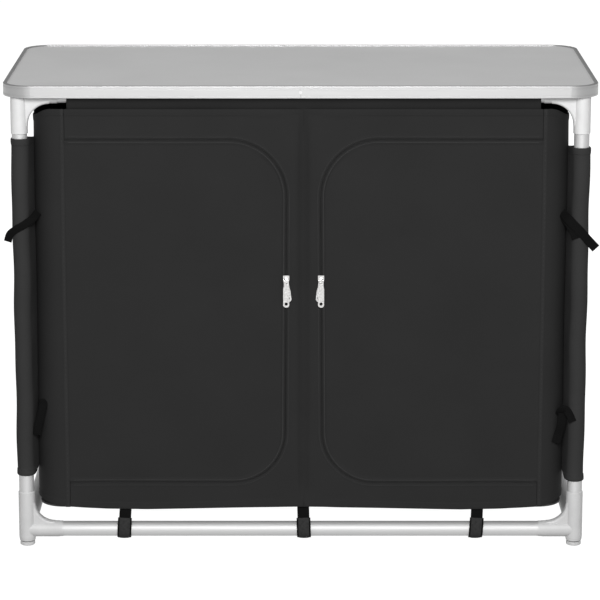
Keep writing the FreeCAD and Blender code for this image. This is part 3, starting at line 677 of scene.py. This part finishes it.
# %% Front panel
def half_ring(side):
    """Strip of the front panel round one door: from the zip line out to the panel's edge."""
    inner = line + out_way * ZIP_GAP
    s, z = line[:, 0], line[:, 1]
    low, high = hem_height(s), np.full(len(s), TOP)
    bottom = (z < LOW_Z) & (out_way[:, 1] < 0)
    top = (z > HIGH_Z) & (out_way[:, 1] > 0)
    slope = out_way[:, 0] / np.maximum(np.abs(out_way[:, 1]), 1e-9)
    to_low = np.where(s < LOW_X, s, LOW_X + (LOW_Z - low) * slope)
    to_high = np.where(s < HIGH_X, s, HIGH_X + (high - HIGH_Z) * slope)
    edge_s = np.where(bottom, np.minimum(to_low, MIDDLE), MIDDLE)
    edge_s = np.where(top, np.minimum(to_high, MIDDLE), edge_s)
    up = (MIDDLE - LOW_X) / np.maximum(out_way[:, 0], 1e-9) * out_way[:, 1]
    down_z = np.maximum(LOW_Z + up, low)
    up = (MIDDLE - HIGH_X) / np.maximum(out_way[:, 0], 1e-9) * out_way[:, 1]
    over_z = np.minimum(HIGH_Z + up, high)
    edge_z = np.where(bottom, np.where(to_low < MIDDLE, hem_height(edge_s), down_z), z)
    edge_z = np.where(top, np.where(to_high < MIDDLE, high, over_z), edge_z)
    for corner_z in (float(hem_height(MIDDLE)), TOP):
        nearest = np.argmin(np.hypot(edge_s - MIDDLE, edge_z - corner_z))
        edge_s[nearest], edge_z[nearest] = MIDDLE, corner_z
    run = np.hypot(edge_s - inner[:, 0], edge_z - inner[:, 1])
    start, end = FOLDED[-1] * MM, HEM[-1] * MM
    near = np.tile(np.array(FOLDED[:-1]) * MM, (len(run), 1))
    between = start + np.linspace(0, 1, 6)[:-1] * (run[:, None] - end - start)
    far = np.array(HEM[::-1]) * MM
    reach = np.concatenate([near, between, run[:, None] - far], axis=1)
    share = reach / run[:, None]
    gs = inner[:, :1] + (edge_s - inner[:, 0])[:, None] * share
    gz = inner[:, 1:] + (edge_z - inner[:, 1])[:, None] * share
    borders = np.minimum(gz - hem_height(gs), TOP - gz)
    seam_d = gs + SEAM
    s_there = on_side(gs, side)
    out = (
        -CLOTH / 2
        + front_waves(s_there, gz) * step01(seam_d / 0.05)
        + fold(np.maximum(-door_depth(gs, gz) - ZIP_GAP, 0), 0.0003)
        + hem(borders)
        + seam(seam_d)
        + 0.6 * seam(MIDDLE - gs)
    )
    return thick(on_band(s_there, gz, out), CLOTH, columns(s_there, gz))


for label, side in (("left", -1), ("right", 1)):
    stands = ["front_panel"] if side < 0 else []
    cloth = piece(f"front_cloth_{label}", [half_ring(side)], polyester, "table", stands)

# %% [markdown]
# ## The doors
# A door is a flat cloth with the D's outline, so its rows run from the hinge seam to the zip line at
# each height. It rides on no body and stays where it is built.


# %% Doors
def door(side):
    """Door cloth: rows by height, crowded into the two round corners, and columns from hinge to zip."""
    turn = np.linspace(0, np.pi / 2, 26)
    low_r, high_r = LOW_ROUND - ZIP_GAP, HIGH_ROUND - ZIP_GAP
    low_z = LOW_Z - low_r * np.cos(turn)
    high_z = HIGH_Z + high_r * np.sin(turn)
    z = np.concatenate([low_z, np.linspace(low_z[-1], high_z[0], 42)[1:-1], high_z])
    reach = inner_line(z) - ZIP_GAP
    low = z < LOW_Z
    high = z > HIGH_Z
    low_reach = LOW_X + np.sqrt(np.maximum(low_r**2 - (z - LOW_Z) ** 2, 0))
    high_reach = HIGH_X + np.sqrt(np.maximum(high_r**2 - (z - HIGH_Z) ** 2, 0))
    reach = np.where(high, high_reach, np.where(low, low_reach, reach))
    width = reach + SEAM
    near = np.tile(np.array(SEWN) * MM, (len(z), 1))
    far = np.array(FOLDED[::-1]) * MM
    between = near[0, -1] + np.linspace(0, 1, 44)[1:-1] * (width[:, None] - far[0] - near[0, -1])
    run = np.concatenate([near, between, width[:, None] - far], axis=1)
    gs = run - SEAM
    gz = z[:, None]
    s_there = on_side(gs, side)
    depth = np.maximum(door_depth(gs, gz) - ZIP_GAP, 0)
    out = (
        -CLOTH / 2
        + front_waves(s_there, gz) * step01(run / 0.05)
        + fold(depth, 0.0010)
        + 0.7 * seam(run)
        + 0.0012 * step01(depth / 0.12)
    )
    return thick(on_band(s_there, gz, out), CLOTH, columns(s_there, gz))


for label, side in (("left", -1), ("right", 1)):
    cloth = piece(f"door_cloth_{label}", [door(side)], polyester, None, [f"door_{label}"])
    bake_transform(cloth)
    print(cloth.name, len(cloth.data.vertices), "points")

# %% [markdown]
# ## The zips
# A coil zip is a nylon spiral sewn along each of two tapes, and the two spirals hook into each other.
# Only a thin line of it shows between the folded cloth edges. The coil is a round profile that swells
# once for each tooth. The real teeth are 1.5 mm apart; they are drawn 2.4 mm apart so that they show.

# %% Tapes, coils and stitches
TOOTH = 2.4 * MM
COIL_DEPTH, COIL_RADIUS = 1.4 * MM, 0.62 * MM


def zip_half(side, way):
    """Coil and tape of one half: way +1 is the panel's half outside the line, -1 the door's inside."""
    fine, beside = zip_line(TOOTH / 4)
    s = on_side(fine[:, 0], side)
    base = front_waves(s, fine[:, 1]) * step01((fine[:, 0] + SEAM) / 0.05)
    path = on_band(s, fine[:, 1], base - COIL_DEPTH)
    beside3 = columns(beside[:, 0] * -side, 0.0, beside[:, 1]) * way
    up = np.broadcast_to([0.0, -1.0, 0.0], path.shape)
    phase = along(fine) / TOOTH * 2 * np.pi + (0 if way > 0 else np.pi)
    swell = 1 + 0.22 * np.cos(phase)[:, None, None]
    turn = np.linspace(0, 2 * np.pi, 8, endpoint=False)
    coil = COIL_RADIUS * circle(turn) * swell + np.array([0.0008, 0.0002])
    tape = np.array([[0.0002, -0.0007], [0.0085, -0.0011], [0.0085, -0.0007], [0.0002, -0.0003]])
    return swept(path, beside3, up, coil), swept(path[::8], beside3[::8], up[::8], tape)


def stitch_row(side, offset, height):
    """Stitches 3 mm long and 4 mm apart beside the zip line, at an offset out of the door."""
    fine, beside = zip_line(0.004)
    places = fine + beside * offset
    s = on_side(places[:, 0], side)
    keep = places[:, 0] > -SEAM + 0.006
    out = front_waves(s, places[:, 1]) * step01((places[:, 0] + SEAM) / 0.05) + height
    centre = on_band(s, places[:, 1], out)[keep]
    up = np.broadcast_to([0.0, -1.0, 0.0], centre.shape)
    return beads(centre, heading(centre), up, 0.0030, 0.00032)


table_side = []
for label, side in (("left", -1), ("right", 1)):
    coil, tape = zip_half(side, -1)
    node = f"zip_door_half_{label}"
    piece(f"zip_coil_door_{label}", [coil], coil_painted_light, f"door_{label}", [node])
    piece(f"zip_tape_door_{label}", [tape], zip_tape_painted_light, f"door_{label}", ())
    stitches = stitch_row(side, -ZIP_GAP - 0.0030, 0.0011)
    piece(f"door_stitches_{label}", [stitches], grey_thread, f"door_{label}", ())
    table_side.append((*zip_half(side, 1), stitch_row(side, ZIP_GAP + 0.0030, 0.0004)))
piece("zip_coil_panel", [t[0] for t in table_side], coil_painted_light, "table", ["zip_frame_halves"])
piece("zip_tape_panel", [t[1] for t in table_side], zip_tape_painted_light, "table", ())
piece("panel_stitches", [t[2] for t in table_side], thread, "table", ())

# %% [markdown]
# ## Seam bindings
# The seams where the sides meet the front and the back are bound: an 8 mm tape covers the raw edges and
# is stitched along its middle, so a seam reads as a thin raised line that catches the light. The tape is
# black, drawn in a lighter grey than the cloth: a painted highlight along the seam.


# %% Bindings
def binding_at(s):
    """Tape 8 mm wide carried up the band at one place and over both hems, and its row of stitches."""
    low = float(hem_height(min(abs(s), REAR_MIDDLE - abs(s)))) - 0.0005
    high = TOP + 0.0002
    z = low + marks(high - low, HEM, 0.008)
    out = np.maximum(hem(np.minimum(z - low, high - z)), 0) - 0.0001
    path = on_band(s, z, out)
    beside = unit(on_band(s + 0.001, z, out) - on_band(s - 0.001, z, out))
    up = np.cross(beside, [0.0, 0.0, 1.0])
    tape = swept(path, beside, up, cushion(0.0076, 0.0009))
    middle = path[3:-3] + up[3:-3] * 0.0005
    upward = np.broadcast_to([0.0, 0.0, 1.0], middle.shape)
    return tape, beads(middle, upward, up[3:-3], 0.0034, 0.00025)


BESIDE_SEAM = 0.0033
bound_at = (-SEAM - BESIDE_SEAM, right_seam + BESIDE_SEAM, -REAR_SEAM, REAR_SEAM)
bound = [binding_at(s) for s in bound_at]
piece("seam_bindings", [b[0] for b in bound], binding, "table", ())
piece("seam_stitches", [b[1] for b in bound], thread, "table", ())
print("seams bound:", len(bound))

# %% [markdown]
# ## Sleeves on the legs and rails
# The cupboard has no frame of its own. Cloth sleeves sewn into its corner seams go round the four legs,
# and two long sleeves behind its upper edges take the front and rear rails. In section a sleeve is a
# teardrop: from the seam to the tube, round it, and back to the seam.


# %% Sleeves
LEG_X, LEG_Y = 0.458, 0.2105
UPPER_RAIL_Z, LOWER_RAIL_Z = 0.7568, 0.027
SLEEVE_HIGH, UPPER_SLEEVE_LONG = 0.571, 0.770
# Lower and upper end of the sleeves on the left and the right; the right ones sit a little lower.
SLEEVE_ENDS = {-1: (0.1225, 0.688), 1: (0.1125, 0.673)}


def teardrop(anchor, centre, radius, points, turn_way):
    """Section of a sleeve: from the anchor straight to the tube, round its far side, and back."""
    anchor, centre = np.array(anchor), np.array(centre)
    gap = anchor - centre
    toward = math.atan2(gap[1], gap[0])
    half = math.acos(radius / np.linalg.norm(gap))
    turn = toward + turn_way * np.linspace(half, 2 * math.pi - half, points)
    bend = centre + radius * circle(turn)
    share = np.linspace(0, 1, 7)[:-1, None]
    away = unit(np.array([-gap[1], gap[0]])) * 0.0007 * turn_way
    first = (anchor + away) + (bend[0] - anchor - away) * share
    last = (anchor - away) + (bend[-1] - anchor + away) * share
    return np.concatenate([first, bend, last[::-1]])


def leg_sleeve(side, end):
    """Cloth round one leg: the teardrop at each height, with hems, slow folds and a slanting lower edge."""
    centre = np.array([LEG_X * side, LEG_Y * end])
    section = teardrop((0.4366 * side, 0.1795 * end), centre, 0.0135, 40, side * end)
    run = along(section)
    height = marks(SLEEVE_HIGH, HEM, 0.012) / SLEEVE_HIGH
    free = step01(np.minimum(run, run[-1] - run) / 0.03)
    low, high = SLEEVE_ENDS[side]
    low, high = low + 0.014 * (1 - free), high + 0.003 * free
    z = low + (high - low) * height[:, None]
    edges = np.minimum(z - low, high - z)
    away = unit(section - centre)
    wave = 0.0005 * np.sin(31.0 * z + 90.0 * run + 2.0 * side) + 0.0004 * np.sin(57.0 * z - 60.0 * run)
    lift = (wave + 0.0005 + hem(edges) * 1.3) * free
    x, y = section[:, 0] + away[:, 0] * lift, section[:, 1] + away[:, 1] * lift
    return thick(columns(x, y, z), CLOTH * 0.8, columns(run, z)), run[-1]


for end, where in ((-1, "front"), (1, "rear")):
    for side, label in ((-1, "left"), (1, "right")):
        shell, run = leg_sleeve(side, end)
        node = f"leg_sleeve_{where}_{label}"
        cloth = piece(f"sleeve_{where}_{label}", [shell], sleeve_weave_painted_light, "table", [node])
        print(cloth.name, "cut", round(run, 3), "m wide")


def rail_sleeve(end, shift):
    """Cloth round the front or rear upper rail, hanging down to the seam behind the panel's edge."""
    centre = np.array([LEG_Y * end, UPPER_RAIL_Z])
    section = teardrop((0.2148 * end, 0.7265), centre, 0.0094, 30, -end)
    run = along(section)
    x = shift - UPPER_SLEEVE_LONG / 2 + marks(UPPER_SLEEVE_LONG, HEM, 0.012)
    ends = np.minimum(x - x[0], x[-1] - x)[:, None]
    free = step01(np.minimum(run, run[-1] - run) / 0.02)
    away = unit(section - centre)
    wave = 0.0004 * np.sin(40.0 * x[:, None] + 120.0 * run) + 0.0003 * np.sin(97.0 * x[:, None])
    lift = (wave + hem(ends) * 0.6) * free
    y, z = section[:, 0] + away[:, 0] * lift, section[:, 1] + away[:, 1] * lift
    x = x[:, None]
    return thick(columns(x, y, z), CLOTH * 0.8, columns(run, x)), run[-1]


for end, shift, where in ((-1, MIDDLE, "front"), (1, 0.0, "rear")):
    shell, run = rail_sleeve(end, shift)
    node = f"rail_sleeve_{where}"
    cloth = piece(f"upper_sleeve_{where}", [shell], lining, "table", [node])
    print(cloth.name, "cut", round(run, 3), "m wide")

# %% [markdown]
# ## Inside the cupboard
# The floor is a cloth that is sewn to the lower hem all round, with two stiffening boards laid on it. A
# partition hangs in the middle from front to back, and each half has one stiffened shelf wrapped in
# the same cloth, with a bound edge.


# %% Floor, partition and shelves
FLOOR_Z = 0.0666
PARTITION_LONG, PARTITION_HIGH = 0.434, 0.650


def floor_cloth():
    """Round grid: rays from the middle to the band, flat inside and bent up to the hem at its edge."""
    s = np.linspace(-REAR_MIDDLE, REAR_MIDDLE, 241)
    edge = on_band(s, lower_edge(s) + 0.003, -0.0019)
    share = np.array([0.02, 0.3, 0.6, 0.8, 0.9, 0.95, 0.975, 0.99, 1.0])[:, None]
    x, y = edge[:, 0] * share, edge[:, 1] * share
    z = FLOOR_Z + (edge[:, 2] - FLOOR_Z) * step01((share - 0.95) / 0.05)
    grid = columns(x, y, z)
    return thick(grid, 0.0010, grid[..., :2].copy())


def partition():
    """Upright cloth from front to back at the middle seam, hemmed along its upper edge."""
    y = np.linspace(-0.2148, 0.2190, 30)
    z = 0.0685 + marks(PARTITION_HIGH, HEM, 0.02)
    edges = np.minimum(z - z[0], z[-1] - z)[:, None]
    slow = np.sin(14 * y) * np.sin(9 * z[:, None]) * np.cos(np.pi * y / PARTITION_LONG)
    x = MIDDLE + 0.0012 * slow
    swell = CLOTH / 2 + np.maximum(hem(edges), 0) * 0.5
    z = z[:, None]
    return sheet_shell(columns(x - swell, y, z), columns(x + swell, y, z), columns(y, z))


def shelf(node):
    """Cloth over a thin stiffener: flat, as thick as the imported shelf, with a bound edge that swells."""
    low, high = (np.array(corner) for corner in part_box(node))
    low = np.maximum(low, [-HALF_X + 0.0045, -FACE_Y + 0.0070, -1])
    high = np.minimum(high, [HALF_X - 0.0045, FACE_Y - 0.0040, 1])
    y = low[1] + marks(high[1] - low[1], SEWN, 0.012)
    arc = CORNER - 0.0042
    past = np.clip(np.abs(y) - (FACE_Y - CORNER), 0, arc)
    cut_in = arc - np.sqrt(arc**2 - past**2)
    share = marks(1.0, np.array(SEWN) / (high[0] - low[0]), 0.06)
    width = high[0] - low[0] - cut_in[:, None]
    start = low[0] + cut_in[:, None] * (low[0] < -0.1)
    x = start + width * share
    end_edge = np.minimum(y - y[0], y[-1] - y)[:, None]
    edge = np.minimum(np.minimum(share, 1 - share) * width, end_edge) / MM
    half, middle = (high[2] - low[2]) / 2, (high[2] + low[2]) / 2
    bound_edge = 0.4 * np.exp(-(((edge - 2.5) / 1.5) ** 2)) - 1 + step01(edge)
    swell = half + (bound_edge - 0.4) * MM
    y = y[:, None]
    upper, lower = columns(x, y, middle + swell), columns(x, y, middle - swell)
    return sheet_shell(upper, lower, columns(x, y)), (high[0] - low[0], high[1] - low[1])


cloth = piece("floor_cloth", [floor_cloth()], lining, "table", ["cabinet_floor"])
cloth = piece("partition_cloth", [partition()], lining, "table", ["centre_partition"])
for label in ("left", "right"):
    shell, cut = shelf(f"shelf_{label}")
    cloth = piece(f"shelf_cloth_{label}", [shell], lining, "table", [f"shelf_{label}"])
print("inside: floor, partition and two shelves")

# %% [markdown]
# ## Straps
# Webbing straps hold the lower hem to the bottom rails: each comes down from the hem, goes round the
# rail, and closes on itself with hook-and-loop tape, whose fuzzy end lies on the outside. Narrow tie
# straps at the front corners hold a rolled-up door; with the doors closed they hang loose.


# %% Straps round the bottom rails
def spline(points, count):
    """Smooth line through points: Catmull-Rom, a cubic between each two that uses their neighbours."""
    p = np.asarray(points, float)
    p = np.concatenate([[2 * p[0] - p[1]], p, [2 * p[-1] - p[-2]]])
    t = np.linspace(0, len(p) - 3, count)
    i = np.minimum(t.astype(int), len(p) - 4)
    t = (t - i)[:, None]
    a, b, c, d = p[i], p[i + 1], p[i + 2], p[i + 3]
    return b + 0.5 * t * (c - a + t * (2 * a - 5 * b + 4 * c - d + t * (3 * (b - c) + d - a)))


def ribbon(width, thickness):
    """Section of webbing: a flat bar with rounded edges, slightly thicker at its two selvedges."""
    across = np.array([-0.5, -0.44, -0.2, 0.0, 0.2, 0.44, 0.5]) * width
    height = np.array([0.15, 0.55, 0.5, 0.5, 0.5, 0.55, 0.15]) * thickness
    upper = columns(across, height)
    return np.concatenate([upper, upper[::-1] * [1, -1]])


def strap(path, aside, section):
    """Webbing along a path; aside is the way its width lies."""
    ahead = heading(path)
    up = unit(np.cross(np.broadcast_to(aside, path.shape), ahead))
    return swept(path, np.cross(ahead, up), up, section)


WEBBING = 0.0012
RAIL = np.array([-LEG_Y, LOWER_RAIL_Z])
STRAP_X = 0.294


def rail_strap(x, end, lean):
    """Neck and outer tail of one strap in the plane across the rail, leaning a little sideways."""
    neck = [[-0.2130, 0.0700], [-0.2140, 0.0600], [-0.2195, 0.0480], [-0.2237, 0.0370], [-0.2240, 0.0300]]
    turn = np.radians(np.linspace(180, 510, 60))
    around = RAIL + 0.0133 * circle(turn)
    inner = np.concatenate([spline(neck, 24)[:-1], around])
    turn = np.radians(np.linspace(265, 182, 20))
    under = RAIL + 0.0146 * circle(turn)
    rise = [[-0.22525, 0.029], [-0.2250, 0.0370], [-0.2241, 0.0440], [-0.2236, 0.0495]]
    tail = np.concatenate([under, spline(rise, 14)])
    sections = [
        (inner, ribbon(0.0200, WEBBING)),
        (tail, ribbon(0.0232, WEBBING)),
        (tail, cushion(0.0200, 0.0026)),
    ]
    shells = []
    for flat_path, section in sections:
        y, z = flat_path[:, 0] * -end, flat_path[:, 1]
        path = columns(x + lean * (z - 0.04), y, z)
        shells.append(strap(path, [1.0, 0.0, 0.0], section))
    return shells


for end, where, shift in ((-1, "front", MIDDLE), (1, "rear", 0.0)):
    places = ((-STRAP_X, 0.05), (shift, -0.03), (STRAP_X, 0.06))
    made = [rail_strap(x, end, lean) for x, lean in places]
    node = f"rail_straps_{where}"
    piece(f"rail_webbing_{where}", [s for m in made for s in m[:2]], webbing, "table", [node])
    piece(f"rail_loop_tape_{where}", [m[2] for m in made], fuzz_tape_painted_light_and_shade, "table", ())
    print("rail straps", where, len(made))

# %% Tie straps
# Each tie: points along it in mm, and its width in mm.
TIES = {
    "left": [
        ([(-430, -210, 568), (-438, -219.5, 559), (-451, -226.2, 550),
          (-465, -226.2, 542), (-475.5, -222.5, 533), (-480, -217, 520)], 13),
        ([(-428, -209.5, 251), (-427.5, -215, 240), (-432, -217.5, 222),
          (-436.5, -218, 205), (-438.5, -216.5, 191)], 14),
    ],
    "right": [
        ([(428, -209, 567), (440, -221.5, 556), (457, -226.2, 539),
          (472, -224.5, 522), (484, -220.5, 509)], 15),
        ([(431, -210, 560), (440, -219, 548),
          (447, -224.5, 536), (450, -225.5, 526)], 13),
        ([(429, -208.5, 222), (432, -216, 232), (439, -220, 236),
          (446, -223.5, 228), (451, -226.5, 216)], 13),
        ([(436, -215, 228), (433.5, -217, 210),
          (429, -216, 192), (424.5, -219.5, 178)], 15),
    ],
}
for label, ties in TIES.items():
    shells = []
    for points, width in ties:
        path = spline(points, 28) * MM
        aside = unit(np.cross(heading(path), [0.0, -1.0, 0.0]))
        shells.append(strap(path, aside, ribbon(width * MM, WEBBING)))
    piece(f"ties_{label}", shells, webbing, "table", [f"tie_straps_{label}"])
print("tie straps:", {label: len(ties) for label, ties in TIES.items()})
